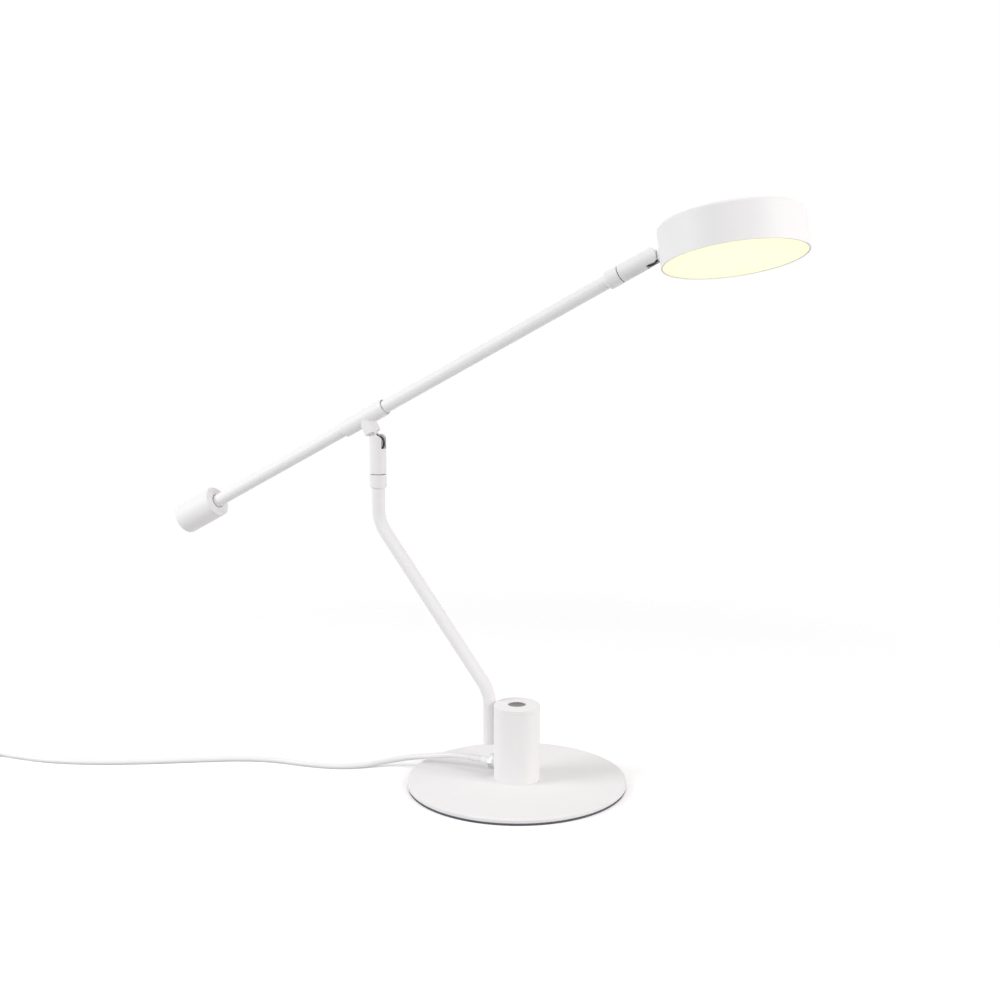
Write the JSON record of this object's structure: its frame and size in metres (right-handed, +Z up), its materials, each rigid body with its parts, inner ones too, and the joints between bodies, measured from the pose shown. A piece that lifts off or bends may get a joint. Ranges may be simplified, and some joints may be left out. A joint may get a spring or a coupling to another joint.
{
  "type": "desk lamp",
  "caption": "Balanced-arm desk lamp: round weighted foot, short column with push button, bent stem, pivoting arm with counterweight and a flat round LED head.",
  "frame": {"origin": "centre of the face that rests on the table, on the common axis of foot and column", "axes": "+Z up; stem and arm lie in the XZ plane, lamp head towards +X, counterweight and cord towards -X"},
  "size_m": [0.812, 0.3374, 0.5203],
  "materials": {
    "white_coat_steel": "matte fine-grain powder coat",
    "white_coat_alloy": "matte fine-grain powder coat on die-cast alloy",
    "foam": "dark closed-cell foam",
    "zinc_steel": "zinc plated",
    "button_steel": "satin, dished face",
    "black_plastic": "moulded",
    "black_washer": "low-friction nylon",
    "chrome_brass": "bright chrome plate",
    "white_cable": "soft matte PVC",
    "plug_brass": "nickel plated",
    "black_wire": "thin wire insulation",
    "brass": "turned",
    "bare_alloy": "bare die-cast",
    "circuit_board": "white solder mask",
    "led": "phosphor",
    "reflector_white": "white moulded",
    "opal_lit": "opal acrylic"
  },
  "bodies": {
    "base": {"base_plate": "white_coat_steel", "foot_pad": "foam", "column_flange": "zinc_steel", "column_screws": "zinc_steel", "column_tube": "white_coat_steel", "column_cap": "white_coat_steel", "switch_module": "black_plastic", "switch_screws": "zinc_steel", "driver_housing": "black_plastic", "gland_body": "chrome_brass", "gland_washer": "chrome_brass", "gland_nut": "chrome_brass", "strain_relief": "white_cable", "mains_lead": "white_cable", "stem_tube": "white_coat_steel", "stem_plug": "white_coat_steel", "stem_saddles": "white_coat_steel", "stem_anchor": "zinc_steel", "stem_screws": "zinc_steel", "stem_lead": "black_wire", "stem_collar": "white_coat_steel", "stem_spindle": "brass", "stem_washer": "black_washer", "power_cord": "white_cable", "cord_coil": "white_cable", "plug_body": "white_cable", "plug_pins": "plug_brass"},
    "button": {"push_button": "button_steel"},
    "stem_yoke": {"stem_fork": "white_coat_alloy", "stem_fork_screw": "zinc_steel", "stem_pin": "zinc_steel", "stem_friction_washers": "black_washer"},
    "arm": {"stem_joint_wires": "black_wire", "arm_tongue": "white_coat_alloy", "arm_bush": "brass", "arm_sleeve": "white_coat_steel", "sleeve_screws": "zinc_steel", "arm_tube": "white_coat_steel", "arm_lead": "black_wire", "counterweight": "white_coat_steel", "counterweight_screw": "zinc_steel", "head_collar": "white_coat_steel", "head_spindle": "brass", "head_washer": "black_washer"},
    "head_yoke": {"head_fork": "white_coat_alloy", "head_fork_screw": "zinc_steel", "head_pin": "zinc_steel", "head_friction_washers": "black_washer"},
    "head": {"head_joint_wires": "black_wire", "head_tongue": "white_coat_alloy", "head_bolt": "brass", "head_housing": "white_coat_alloy", "head_lead": "black_wire", "head_terminal": "black_plastic", "heat_sink": "bare_alloy", "head_screws": "zinc_steel", "led_board": "circuit_board", "led_chips": "led", "reflector": "reflector_white", "diffuser": "opal_lit"}
  },
  "joints": [
    {"name": "button_press", "type": "slide", "parent": "base", "child": "button", "axis": [0, 0, -1], "range_m": [0, 0.0015], "stiffness_N_per_m": 600, "springref_m": -0.001},
    {"name": "arm_swivel", "type": "hinge", "parent": "base", "child": "stem_yoke", "pos_m": [-0.142, 0, 0.3071], "axis": [0, 0, 1], "range_deg": [-160, 160]},
    {"name": "arm_tilt", "type": "hinge", "parent": "stem_yoke", "child": "arm", "pos_m": [-0.142, 0, 0.3071], "axis": [0, -1, 0], "range_deg": [-58, 32], "deforming": ["stem_joint_wires"]},
    {"name": "head_swivel", "type": "hinge", "parent": "arm", "child": "head_yoke", "pos_m": [0.1204, 0, 0.47495], "axis": [0.8846, 0, 0.4664], "range_deg": [-150, 170]},
    {"name": "head_tilt", "type": "hinge", "parent": "head_yoke", "child": "head", "pos_m": [0.1204, 0, 0.47495], "axis": [-0.0866, -0.9826, 0.1642], "range_deg": [-65, 75], "deforming": ["head_joint_wires"]}
  ]
}
